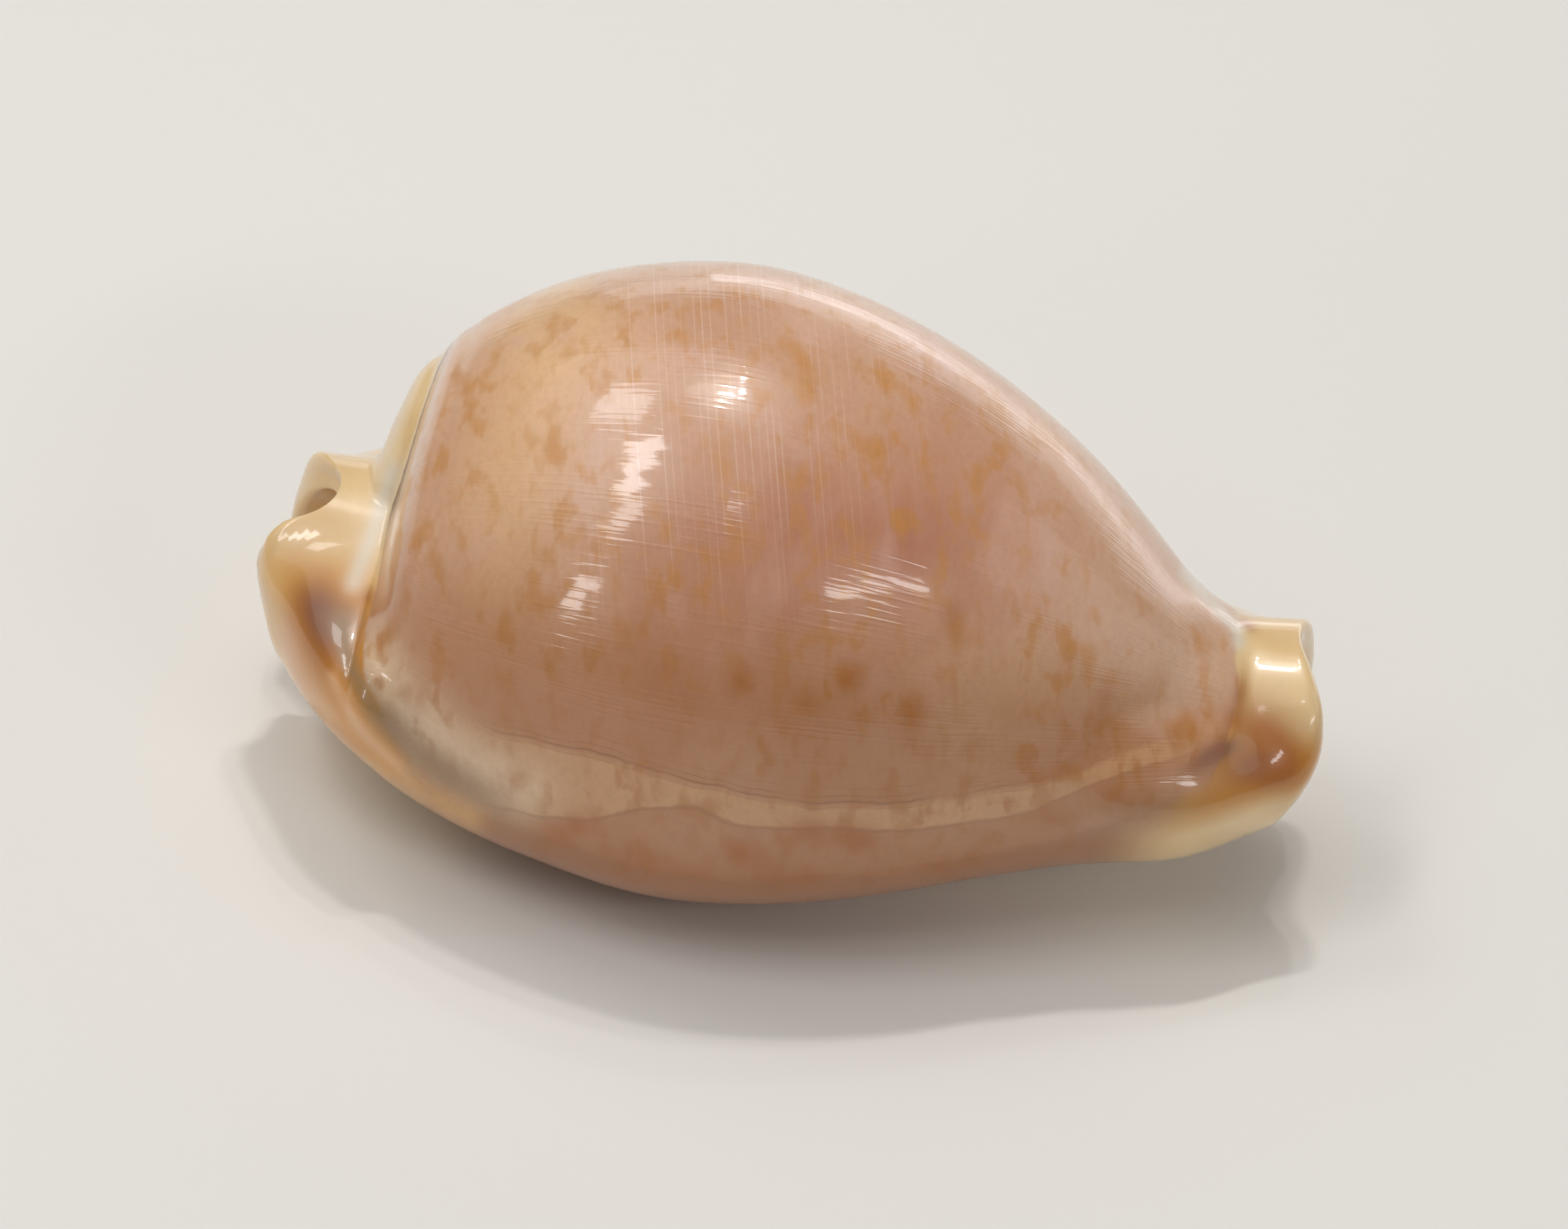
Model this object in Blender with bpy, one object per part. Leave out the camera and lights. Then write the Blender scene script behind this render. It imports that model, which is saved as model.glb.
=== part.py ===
"""Teramachi's cowry, a dextral cowry shell resting on its base.

+X runs to the anterior end, +Z to the dome of the back, -Y to the outer (labral) lip.
The shell is one closed wall around an open cavity: a dome, thickened margins, a curved
slit of an aperture in the base, a deep notch at the posterior end and a shallow one at
the anterior end. All lengths below are millimetres along or around the canal line,
the straight line that joins the middles of the two canals.
"""
import bpy
import numpy as np

LENGTH = 68.0                      # tip to tip
HALF_LABRAL, HALF_COLUMELLAR = 20.6, 21.2   # half-widths of the body at its widest
DOME, KEEL = 23.0, 12.0            # height of the body over and under the canal line
FLAT = 0.5                         # how much of the base is worn flat
WALL, FLOOR = 1.6, 2.0             # thickness of the dome, and what the base adds to it
LIP_RADIUS = 1.3
RIM_DEPTH = 1.3                    # length over which the canal rims are rounded
NOTCH_REACH = 7.0                  # how far in from each end the notches bend the wall
REAR, FRONT = -LENGTH / 2, LENGTH / 2

# swell of the body along its length, as a share of its largest section
SWELL_X = (-26.5, -26.2, -25.8, -25.4, -25.0, -24.4, -23.0, -21.0, -18.0, -12.0,
           -6.0, 0.0, 6.0, 12.0, 18.0, 21.0, 24.0, 26.0, 27.0, 28.0, 29.0)
SWELL = (0.04, 0.18, 0.31, 0.43, 0.53, 0.62, 0.702, 0.777, 0.86, 0.960,
         1.0, 0.970, 0.892, 0.768, 0.593, 0.480, 0.360, 0.292, 0.255, 0.18, 0.06)
# half-widths of the margins in plan
MARGIN_X = (-34.0, -33.0, -31.5, -30.0, -27.0, -24.0, -20.0, -14.0, 0.0,
            12.0, 18.0, 22.0, 26.5, 30.5, 32.5, 34.0)
MARGIN_LABRAL = (5.0, 6.6, 9.0, 11.5, 14.8, 16.0, 16.8, 17.3, 17.1,
                 14.6, 12.8, 12.2, 11.1, 8.2, 6.6, 5.2)
MARGIN_COLUMELLAR = (5.0, 5.9, 6.9, 7.8, 9.8, 13.0, 15.4, 17.2, 17.3,
                     14.2, 11.4, 9.8, 8.4, 7.2, 6.2, 5.2)
# depth of the base under the canal line, and height of the margins over it
BASE_X = (-34.0, -32.0, -30.0, -27.0, -24.0, -20.0, -10.0, 0.0, 12.0, 21.0, 26.0, 30.0, 32.5, 34.0)
BASE = (4.8, 5.8, 6.8, 8.2, 9.4, 10.4, 11.4, 11.7, 10.4, 8.6, 7.4, 6.4, 5.6, 4.8)
MARGIN_TOP = (3.4, 3.8, 4.1, 4.6, 5.2, 6.0, 7.0, 7.0, 6.0, 5.0, 4.4, 4.0, 3.6, 3.2)
# how far below level the outer lip's margin points, in degrees
DROP_X = (-34.0, -29.0, -26.5, -24.5, -22.4, -20.0, -15.0, -4.0, 14.0, 22.0, 28.0, 34.0)
DROP = (-4.0, -3.0, 0.0, 5.0, 10.5, 14.0, 12.0, 0.0, 0.0, 7.0, 8.0, 5.0)
# where the aperture's middle meets the base, its half-width, and the canals' height
SLIT_X = (-34.0, -30.0, -26.0, -20.0, -10.0, 0.0, 12.0, 22.0, 30.0, 34.0)
SLIT_Y = (0.6, 0.5, 0.0, -1.4, -2.8, -3.2, -2.6, -1.6, -0.6, 0.0)
SLIT_HALF = (1.9, 1.9, 1.75, 1.5, 1.35, 1.35, 1.5, 1.8, 1.95, 1.95)
# the spire's callus: its reach from the canal line on the columella side
CALLUS_X = (-28.3, -27.8, -27.4, -27.0, -26.6, -26.0, -25.2, -24.0, -21.0, -18.0)
CALLUS = (4.0, 5.8, 7.9, 9.4, 10.8, 12.2, 13.1, 13.6, 10.0, 4.0)
CANAL_X = (-34.0, -24.0, 0.0, 22.0, 30.0, 34.0)
CANAL_TOP = (4.0, 4.0, 4.6, 4.4, 4.7, 5.0)
# where the wall ends at each angle round the canal line: 0 columella side, 90 up,
# 180 outer-lip side, -90 and 270 the base
REAR_RIM = ((-60.0, 0.0, 30.0, 50.0, 65.0, 80.0, 97.0, 110.0, 121.0, 130.0, 138.0, 165.0, 185.0, 205.0, 230.0, 300.0),
            (-32.8, -33.0, -32.7, -32.0, -31.1, -30.0, -29.4, -29.9, -31.3, -33.2, -34.0, -34.0, -33.5, -32.8, -32.4, -32.4))
FRONT_RIM = ((-60.0, -20.0, 12.0, 40.0, 65.0, 85.0, 106.0, 137.0, 163.0, 188.0, 212.0, 240.0, 300.0),
             (32.8, 33.1, 33.2, 32.7, 31.8, 31.6, 32.4, 33.8, 34.0, 33.5, 32.6, 32.1, 32.0))

# stations at which the wall is drawn: (from, to, how many)
STATIONS = ((-32.7, -28.2, 5), (-27.6, -24.2, 8), (-23.4, -15.5, 6), (-13.5, 12.0, 9),
            (14.5, 24.5, 6), (25.8, 28.6, 4), (29.6, 32.7, 4))
LIP_POINTS, OUTER_POINTS, FACE_POINTS, INNER_POINTS = 4, 50, 1, 26


def curve(x, stations, values):
    """Smooth curve through the values, flat beyond its ends."""
    s, v = np.asarray(stations, float), np.asarray(values, float)
    h = np.diff(s)
    d = np.diff(v) / h
    m = np.concatenate([d[:1], (d[:-1] * h[1:] + d[1:] * h[:-1]) / (h[1:] + h[:-1]), d[-1:]])
    x = np.clip(np.asarray(x, float), s[0], s[-1])
    i = np.clip(np.searchsorted(s, x) - 1, 0, len(s) - 2)
    t = (x - s[i]) / h[i]
    return ((1 + 2 * t) * (1 - t) ** 2 * v[i] + t * (1 - t) ** 2 * h[i] * m[i]
            + t * t * (3 - 2 * t) * v[i + 1] + t * t * (t - 1) * h[i] * m[i + 1])


def ramp(a, b, x):
    t = np.clip((np.asarray(x, float) - a) / (b - a), 0, 1)
    return t * t * (3 - 2 * t)


def blend(a, b, k):
    """The larger of two radii, with a fillet of about k where they cross."""
    h = np.maximum(k - np.abs(a - b), 0) / k
    return np.maximum(a, b) + h * h * k / 4


def oval(phi, labral, columellar, top, bottom, n_top, n_bottom):
    """Radius at the angle phi of an oval with four half-axes."""
    c, s = np.cos(phi), np.sin(phi)
    up = 0.5 + 0.5 * np.tanh(3.0 * s) / np.tanh(3.0)
    right = 0.5 + 0.5 * np.tanh(3.0 * c) / np.tanh(3.0)
    a = np.maximum(labral + (columellar - labral) * right, 0.05)
    b = np.maximum(bottom + (top - bottom) * up, 0.05)
    n = n_bottom + (n_top - n_bottom) * up
    return (np.abs(c / a) ** n + np.abs(s / b) ** n) ** (-1 / n)


def wrap(phi):
    """The angle in degrees, from -60 to 300."""
    turn = np.mod(np.degrees(phi), 360.0)
    return np.where(turn > 300.0, turn - 360.0, turn)


def margin_oval(x, phi, n_top):
    """The margins' radius: a flat oval whose outer-lip edge points down by DROP degrees."""
    turn, drop = wrap(phi), curve(x, DROP_X, DROP)
    tip = 180.0 + drop
    turned = np.where(turn < tip, 90.0 + (turn - 90.0) * 90.0 / (tip - 90.0),
                      180.0 + (turn - tip) * 90.0 / (270.0 - tip))
    p = np.where((turn > 90.0) & (turn < 270.0), np.radians(turned), phi)
    edge = 0.07 + 0.13 * ramp(5.0, 22.0, x)
    c, s = np.cos(p), np.where(np.sin(p) > 0, np.hypot(np.sin(p), edge) - edge, np.sin(p))
    labral, columellar = curve(x, MARGIN_X, MARGIN_LABRAL), curve(x, MARGIN_X, MARGIN_COLUMELLAR)
    top, bottom = curve(x, BASE_X, MARGIN_TOP), curve(x, BASE_X, BASE)
    up = 0.5 + 0.5 * np.tanh(3.0 * np.sin(p)) / np.tanh(3.0)
    right = 0.5 + 0.5 * np.tanh(3.0 * c) / np.tanh(3.0)
    a, b = labral + (columellar - labral) * right, bottom + (top - bottom) * up
    n = 2.4 + (n_top - 2.4) * up
    return (np.abs(c / a) ** n + np.abs(s / b) ** n) ** (-1 / n)


def outer_parts(x, phi):
    """Radii of the body, and of the margins with both canals, before they are blended."""
    labral = np.clip(-np.cos(phi), 0, 1)
    steep = (0.5 + ramp(150.0, 172.0, wrap(phi))) * ramp(-27.2, -26.0, x) * (1 - ramp(-24.0, -12.0, x))
    fuller = (steep - 1.5 * ramp(12.0, 20.0, x)) * labral ** 2
    swell = curve(x + fuller, SWELL_X, SWELL)
    body = oval(phi, HALF_LABRAL * swell, HALF_COLUMELLAR * swell, DOME * swell, KEEL * swell, 2.0, 2.7)
    ends = np.maximum(1 - ramp(-24.0, -14.0, x), ramp(12.0, 24.0, x))
    sole = margin_oval(x, phi, 2.1 - 0.75 * ends)
    rear = oval(phi, 5.2, 5.8, 5.4, 4.5, 2.2, 2.2) * (1 - ramp(-26.5, -20.0, x))
    callus = curve(x, CALLUS_X, CALLUS) * (ramp(-40.0, 25.0, wrap(phi)) * (1 - ramp(60.0, 125.0, wrap(phi)))) ** 0.5
    rear = blend(rear, callus, 2.0)
    flare = 5.5 + 0.8 * ramp(26.5, 32.5, x)
    front = oval(phi, flare, 1.03 * flare, flare, 5.0, 2.1, 2.2) * ramp(18.0, 26.0, x)
    return body, sole, rear, front


def outer(x, phi):
    """Distance from the canal line to the outside of the wall."""
    body, sole, rear, front = outer_parts(x, phi)
    fillet = 2.6 - 1.3 * (1 - ramp(-24.0, -14.0, x)) * np.clip(-np.cos(phi), 0, 1)
    valley = ramp(140.0, 156.0, wrap(phi)) * (1 - ramp(176.0, 190.0, wrap(phi)))
    fillet = fillet + valley * (3.8 * (1 - ramp(-25.0, -22.0, x)) + 2.6 * ramp(18.0, 23.0, x))
    return blend(blend(blend(body, sole, fillet), rear, 1.8), front, 1.6)


def inner(x, phi):
    """Distance from the canal line to the inside of the wall."""
    swell = curve(x, SWELL_X, SWELL) * ramp(-25.5, -19.0, x) * (1 - ramp(14.0, 25.0, x))
    body = oval(phi, HALF_LABRAL * swell, HALF_COLUMELLAR * swell, DOME * swell, KEEL * swell, 2.0, 2.7)
    cavity = np.maximum(body - WALL - FLOOR * np.clip(-np.sin(phi), 0, 1) ** 1.5, 0.0)
    half = curve(x, SLIT_X, SLIT_HALF) + 0.5
    canal = oval(phi, half, half, curve(x, CANAL_X, CANAL_TOP),
                 np.maximum(curve(x, BASE_X, BASE) - 3.4, 1.6), 2.2, 2.2)
    return blend(cavity, canal, 1.5)


def rim(table, phi):
    return curve(wrap(phi), *table)


def section(x, shrink=1.0):
    """One ring of the wall: outside from the outer lip over the back to the columella,
    that lip's face, the inside back again, and the outer lip's face. Below shrink 1 the
    ring closes up towards the middle of the wall, which rounds a rim."""
    at_rear = max(0.0, 1 - (x - REAR) / NOTCH_REACH) ** 2
    at_front = max(0.0, 1 - (FRONT - x) / NOTCH_REACH) ** 2

    def bent(phi):
        return x + (rim(REAR_RIM, phi) - REAR) * at_rear + (rim(FRONT_RIM, phi) - FRONT) * at_front

    def place(phi, r):
        return np.stack([bent(phi), r * np.cos(phi), r * np.sin(phi)], axis=-1)

    down = 1.5 * np.pi + float(np.arctan2(curve(x, SLIT_X, SLIT_Y), curve(x, BASE_X, BASE)))
    half = float(curve(x, SLIT_X, SLIT_HALF)) + 0.7 * (1 - shrink)
    sweep = half + LIP_RADIUS * (1 - np.cos(np.linspace(0, np.pi / 2, LIP_POINTS)))
    lips = []
    for side in (-1, 1):
        phi = np.full(LIP_POINTS, down)
        for _ in range(8):
            phi = down + side * np.arcsin(np.clip(sweep / outer(bent(phi), phi), 0, 0.95))
        lips.append(phi if side < 0 else phi - 2 * np.pi)
    middle = np.linspace(lips[0][-1], lips[1][-1], OUTER_POINTS)
    phi = np.concatenate([lips[0][:-1], middle, lips[1][-2::-1]])
    r = outer(bent(phi), phi)
    off = np.abs(r * np.sin(phi - down))
    u = 1 - np.clip((off - half) / LIP_RADIUS, 0, 1)
    cut = LIP_RADIUS - np.sqrt(np.maximum(LIP_RADIUS ** 2 * (1 - u * u), 0))
    outside = place(phi, r - np.where(np.cos(phi - down) > 0, cut, 0))
    start = float(inner(np.array([bent(down)]), np.array([down]))[0])
    gap = float(np.arcsin(min(half / start, 0.9)))
    phi = np.linspace(down - gap, down - 2 * np.pi + gap, INNER_POINTS)
    inside = place(phi, inner(bent(phi), phi))
    share = np.linspace(0, 1, FACE_POINTS + 2)[1:-1, None]
    ring = np.concatenate([outside, outside[-1] + (inside[-1] - outside[-1]) * share,
                           inside[::-1], inside[0] + (outside[0] - inside[0]) * share])
    n = len(outside)
    at = np.linspace(0, INNER_POINTS - 1, n)
    facing = np.stack([np.interp(at, np.arange(INNER_POINTS), inside[:, k]) for k in range(3)], axis=-1)
    spine = (outside + facing) / 2
    match = np.round(np.linspace(0, n - 1, INNER_POINTS)).astype(int)
    centre = np.concatenate([spine, np.repeat(spine[-1:], FACE_POINTS, axis=0),
                             spine[match][::-1], np.repeat(spine[:1], FACE_POINTS, axis=0)])
    return centre + (ring - centre) * shrink, spine, match


def wall():
    """Points and faces of the whole wall."""
    plan = []
    for turn in (0.0, 0.4, 0.75):
        plan.append((REAR + RIM_DEPTH * (1 - np.cos(turn * np.pi / 2)), np.sin(max(turn, 0) * np.pi / 2)))
    plan += [(x, 1.0) for a, b, n in STATIONS for x in np.linspace(a, b, n)]
    for turn in (0.75, 0.4, 0.0):
        plan.append((FRONT - RIM_DEPTH * (1 - np.cos(turn * np.pi / 2)), np.sin(max(turn, 0) * np.pi / 2)))
    points, faces, starts = [], [], []
    count = 0
    for x, shrink in plan:
        ring, spine, match = section(x, shrink)
        ring = spine if shrink == 0 else ring
        starts.append(count)
        count += len(ring)
        points.append(ring)
    n = len(spine)
    size = n + 2 * FACE_POINTS + INNER_POINTS
    first_inner = n + FACE_POINTS
    for a, b in zip(starts[1:-2], starts[2:-1]):
        for k in range(size):
            j = (k + 1) % size
            faces.append((a + k, b + k, b + j, a + j))
    for edge, ring, flip in ((starts[0], starts[1], False), (starts[-1], starts[-2], True)):
        strip = [(edge + k, edge + k + 1, ring + k + 1, ring + k) for k in range(n - 1)]
        inside = [ring + first_inner + INNER_POINTS - 1 - j for j in range(INNER_POINTS)]
        for j in range(INNER_POINTS - 1):
            lo, hi = match[j], match[j + 1]
            strip += [(inside[j], edge + k + 1, edge + k) for k in range(lo, hi)]
            strip.append((inside[j], inside[j + 1], edge + hi))
        far = [ring + n - 1 + k for k in range(FACE_POINTS + 2)]
        near = [ring + (first_inner + INNER_POINTS - 1 + k) % size for k in range(FACE_POINTS + 2)]
        strip += [(edge + n - 1, q, p) for p, q in zip(far, far[1:])]
        strip += [(edge, q, p) for p, q in zip(near, near[1:])]
        faces += strip if flip else [f[::-1] for f in strip]
    points = np.concatenate(points)
    points[:, 2] = np.maximum(points[:, 2], points[:, 2].min() + FLAT)
    low, high = points.min(axis=0), points.max(axis=0)
    points -= ((low[0] + high[0]) / 2, (low[1] + high[1]) / 2, low[2])
    return points, faces


def main():
    for old in list(bpy.data.objects):
        bpy.data.objects.remove(old, do_unlink=True)
    points, faces = wall()
    mesh = bpy.data.meshes.new("shell")
    mesh.from_pydata((points / 1000.0).tolist(), [], [tuple(int(i) for i in f) for f in faces])
    mesh.validate()
    mesh.update()
    shell = bpy.data.objects.new("shell", mesh)
    bpy.context.scene.collection.objects.link(shell)
    glaze = bpy.data.materials.new("glazed shell")
    glaze.use_nodes = True
    surface = glaze.node_tree.nodes["Principled BSDF"].inputs
    surface["Base Color"].default_value = (0.50, 0.31, 0.22, 1.0)
    surface["Roughness"].default_value = 0.12
    mesh.materials.append(glaze)


main()
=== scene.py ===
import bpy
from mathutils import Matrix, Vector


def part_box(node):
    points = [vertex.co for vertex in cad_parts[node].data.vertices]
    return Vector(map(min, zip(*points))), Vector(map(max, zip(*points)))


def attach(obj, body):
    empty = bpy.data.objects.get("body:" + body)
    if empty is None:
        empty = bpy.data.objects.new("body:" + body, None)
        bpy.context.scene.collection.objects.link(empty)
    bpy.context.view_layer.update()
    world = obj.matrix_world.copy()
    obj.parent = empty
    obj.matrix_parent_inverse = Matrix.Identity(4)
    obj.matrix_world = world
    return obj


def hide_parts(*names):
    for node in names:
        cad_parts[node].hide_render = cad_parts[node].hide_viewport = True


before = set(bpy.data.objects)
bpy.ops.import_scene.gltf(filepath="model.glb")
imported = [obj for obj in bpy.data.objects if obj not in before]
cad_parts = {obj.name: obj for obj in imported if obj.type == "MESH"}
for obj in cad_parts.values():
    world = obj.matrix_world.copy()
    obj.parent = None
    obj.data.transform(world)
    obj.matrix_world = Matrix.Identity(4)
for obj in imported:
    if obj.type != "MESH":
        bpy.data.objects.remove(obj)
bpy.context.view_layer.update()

import math

import bpy
import numpy as np
from mathutils import Matrix, Vector

# ----------------------------------------------------------------------------------------
# The shell's form, in millimetres round the canal line (see the CAD part): x runs to the
# anterior end, phi turns round the line with 0 at the columella side and 90 degrees up.
LENGTH = 68.0
HALF_LABRAL, HALF_COLUMELLAR = 20.6, 21.2
DOME, KEEL = 23.0, 12.0
FLAT = 0.5
WALL, FLOOR = 1.6, 2.0
LIP_RADIUS = 1.3
RIM_DEPTH = 1.3
TILT = math.radians(40.0)
NOTCH_REACH = 7.0
REAR, FRONT = -LENGTH / 2, LENGTH / 2

SWELL_X = (-26.5, -26.2, -25.8, -25.4, -25.0, -24.4, -23.0, -21.0, -18.0, -12.0,
           -6.0, 0.0, 6.0, 12.0, 18.0, 21.0, 24.0, 26.0, 27.0, 28.0, 29.0)
SWELL = (0.04, 0.18, 0.31, 0.43, 0.53, 0.62, 0.702, 0.777, 0.86, 0.960,
         1.0, 0.970, 0.892, 0.768, 0.593, 0.480, 0.360, 0.292, 0.255, 0.18, 0.06)
MARGIN_X = (-34.0, -33.0, -31.5, -30.0, -27.0, -24.0, -20.0, -14.0, 0.0,
            12.0, 18.0, 22.0, 26.5, 30.5, 32.5, 34.0)
MARGIN_LABRAL = (5.0, 6.6, 9.0, 11.5, 14.8, 16.0, 16.8, 17.3, 17.1,
                 14.6, 12.8, 12.2, 11.1, 8.2, 6.6, 5.2)
MARGIN_COLUMELLAR = (5.0, 5.9, 6.9, 7.8, 9.8, 13.0, 15.4, 17.2, 17.3,
                     14.2, 11.4, 9.8, 8.4, 7.2, 6.2, 5.2)
BASE_X = (-34.0, -32.0, -30.0, -27.0, -24.0, -20.0, -10.0, 0.0, 12.0, 21.0, 26.0, 30.0, 32.5, 34.0)
BASE = (4.8, 5.8, 6.8, 8.2, 9.4, 10.4, 11.4, 11.7, 10.4, 8.6, 7.4, 6.4, 5.6, 4.8)
MARGIN_TOP = (3.4, 3.8, 4.1, 4.6, 5.2, 6.0, 7.0, 7.0, 6.0, 5.0, 4.4, 4.0, 3.6, 3.2)
# how far below level the outer lip's margin points, in degrees
DROP_X = (-34.0, -29.0, -26.5, -24.5, -22.4, -20.0, -15.0, -4.0, 14.0, 22.0, 28.0, 34.0)
DROP = (-4.0, -3.0, 0.0, 5.0, 10.5, 14.0, 12.0, 0.0, 0.0, 7.0, 8.0, 5.0)
SLIT_X = (-34.0, -30.0, -26.0, -20.0, -10.0, 0.0, 12.0, 22.0, 30.0, 34.0)
SLIT_Y = (0.6, 0.5, 0.0, -1.4, -2.8, -3.2, -2.6, -1.6, -0.6, 0.0)
SLIT_HALF = (1.9, 1.9, 1.75, 1.5, 1.35, 1.35, 1.5, 1.8, 1.95, 1.95)
# the spire's callus: its reach from the canal line on the columella side
CALLUS_X = (-28.3, -27.8, -27.4, -27.0, -26.6, -26.0, -25.2, -24.0, -21.0, -18.0)
CALLUS = (4.0, 5.8, 7.9, 9.4, 10.8, 12.2, 13.1, 13.6, 10.0, 4.0)
CANAL_X = (-34.0, -24.0, 0.0, 22.0, 30.0, 34.0)
CANAL_TOP = (4.0, 4.0, 4.6, 4.4, 4.7, 5.0)
REAR_RIM = ((-60.0, 0.0, 30.0, 50.0, 65.0, 80.0, 97.0, 110.0, 121.0, 130.0, 138.0, 165.0, 185.0, 205.0, 230.0, 300.0),
            (-32.8, -33.0, -32.7, -32.0, -31.1, -30.0, -29.4, -29.9, -31.3, -33.2, -34.0, -34.0, -33.5, -32.8, -32.4, -32.4))
FRONT_RIM = ((-60.0, -20.0, 12.0, 40.0, 65.0, 85.0, 106.0, 137.0, 163.0, 188.0, 212.0, 240.0, 300.0),
             (32.8, 33.1, 33.2, 32.7, 31.8, 31.6, 32.4, 33.8, 34.0, 33.5, 32.6, 32.1, 32.0))

# three lines along each margin, where layers of glaze end: their height h (see the markings) at x
FOLD = ((-24.0, -19.0, -14.8, -10.4, -7.1, -3.9, 1.7, 5.6, 10.2, 13.9, 17.7, 21.3, 24.9, 29.0),
        (-6.5, -8.6, -9.4, -9.6, -9.8, -10.1, -10.2, -9.7, -8.5, -7.3, -5.7, -3.8, -1.8, 0.5))
LOBES = ((-24.0, -16.0, -12.8, -10.5, -8.2, -6.3, -4.4, -2.7, -1.1, 1.2, 4.0, 6.7, 10.5, 13.5, 16.1, 19.7, 23.0, 29.0),
         (-11.0, -13.8, -13.8, -13.5, -12.7, -12.0, -11.6, -11.9, -12.2, -11.9, -11.4, -11.2, -10.2, -9.3, -8.1, -6.1, -4.3, -1.0))
HEM = ((-24.0, -13.4, -9.3, -6.1, -2.9, 1.8, 5.6, 10.2, 13.9, 17.6, 24.0),
       (-13.0, -14.9, -15.5, -15.8, -15.7, -15.1, -14.3, -13.0, -11.5, -9.9, -7.0))
FOLD_STEP = 0.09

RING_STEP = 0.27
LIP_POINTS, OUTER_POINTS, FACE_POINTS, INNER_POINTS = 10, 190, 6, 84


def curve(x, stations, values):
    """Smooth curve through the values, flat beyond its ends."""
    s, v = np.asarray(stations, float), np.asarray(values, float)
    h = np.diff(s)
    d = np.diff(v) / h
    m = np.concatenate([d[:1], (d[:-1] * h[1:] + d[1:] * h[:-1]) / (h[1:] + h[:-1]), d[-1:]])
    x = np.clip(np.asarray(x, float), s[0], s[-1])
    i = np.clip(np.searchsorted(s, x) - 1, 0, len(s) - 2)
    t = (x - s[i]) / h[i]
    return ((1 + 2 * t) * (1 - t) ** 2 * v[i] + t * (1 - t) ** 2 * h[i] * m[i]
            + t * t * (3 - 2 * t) * v[i + 1] + t * t * (t - 1) * h[i] * m[i + 1])


def ramp(a, b, x):
    t = np.clip((np.asarray(x, float) - a) / (b - a), 0, 1)
    return t * t * (3 - 2 * t)


def blend(a, b, k):
    """The larger of two radii, with a fillet of about k where they cross."""
    h = np.maximum(k - np.abs(a - b), 0) / k
    return np.maximum(a, b) + h * h * k / 4


def oval(phi, labral, columellar, top, bottom, n_top, n_bottom):
    """Radius at the angle phi of an oval with four half-axes."""
    c, s = np.cos(phi), np.sin(phi)
    up = 0.5 + 0.5 * np.tanh(3.0 * s) / np.tanh(3.0)
    right = 0.5 + 0.5 * np.tanh(3.0 * c) / np.tanh(3.0)
    a = np.maximum(labral + (columellar - labral) * right, 0.05)
    b = np.maximum(bottom + (top - bottom) * up, 0.05)
    n = n_bottom + (n_top - n_bottom) * up
    return (np.abs(c / a) ** n + np.abs(s / b) ** n) ** (-1 / n)


def wrap(phi):
    """The angle in degrees, from -60 to 300."""
    turn = np.mod(np.degrees(phi), 360.0)
    return np.where(turn > 300.0, turn - 360.0, turn)


def margin_oval(x, phi, n_top):
    """The margins' radius: a flat oval whose outer-lip edge points down by DROP degrees."""
    turn, drop = wrap(phi), curve(x, DROP_X, DROP)
    tip = 180.0 + drop
    turned = np.where(turn < tip, 90.0 + (turn - 90.0) * 90.0 / (tip - 90.0),
                      180.0 + (turn - tip) * 90.0 / (270.0 - tip))
    p = np.where((turn > 90.0) & (turn < 270.0), np.radians(turned), phi)
    edge = 0.07 + 0.13 * ramp(5.0, 22.0, x)
    c, s = np.cos(p), np.where(np.sin(p) > 0, np.hypot(np.sin(p), edge) - edge, np.sin(p))
    labral, columellar = curve(x, MARGIN_X, MARGIN_LABRAL), curve(x, MARGIN_X, MARGIN_COLUMELLAR)
    top, bottom = curve(x, BASE_X, MARGIN_TOP), curve(x, BASE_X, BASE)
    up = 0.5 + 0.5 * np.tanh(3.0 * np.sin(p)) / np.tanh(3.0)
    right = 0.5 + 0.5 * np.tanh(3.0 * c) / np.tanh(3.0)
    a, b = labral + (columellar - labral) * right, bottom + (top - bottom) * up
    n = 2.4 + (n_top - 2.4) * up
    return (np.abs(c / a) ** n + np.abs(s / b) ** n) ** (-1 / n)


def outer_parts(x, phi):
    """Radii of the body, and of the margins with both canals, before they are blended."""
    labral = np.clip(-np.cos(phi), 0, 1)
    steep = (0.5 + ramp(150.0, 172.0, wrap(phi))) * ramp(-27.2, -26.0, x) * (1 - ramp(-24.0, -12.0, x))
    fuller = (steep - 1.5 * ramp(12.0, 20.0, x)) * labral ** 2
    swell = curve(x + fuller, SWELL_X, SWELL)
    body = oval(phi, HALF_LABRAL * swell, HALF_COLUMELLAR * swell, DOME * swell, KEEL * swell, 2.0, 2.7)
    ends = np.maximum(1 - ramp(-24.0, -14.0, x), ramp(12.0, 24.0, x))
    sole = margin_oval(x, phi, 2.1 - 0.75 * ends)
    rear = oval(phi, 5.2, 5.8, 5.4, 4.5, 2.2, 2.2) * (1 - ramp(-26.5, -20.0, x))
    callus = curve(x, CALLUS_X, CALLUS) * (ramp(-40.0, 25.0, wrap(phi)) * (1 - ramp(60.0, 125.0, wrap(phi)))) ** 0.5
    rear = blend(rear, callus, 2.0)
    flare = 5.5 + 0.8 * ramp(26.5, 32.5, x)
    front = oval(phi, flare, 1.03 * flare, flare, 5.0, 2.1, 2.2) * ramp(18.0, 26.0, x)
    return body, sole, rear, front


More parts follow.
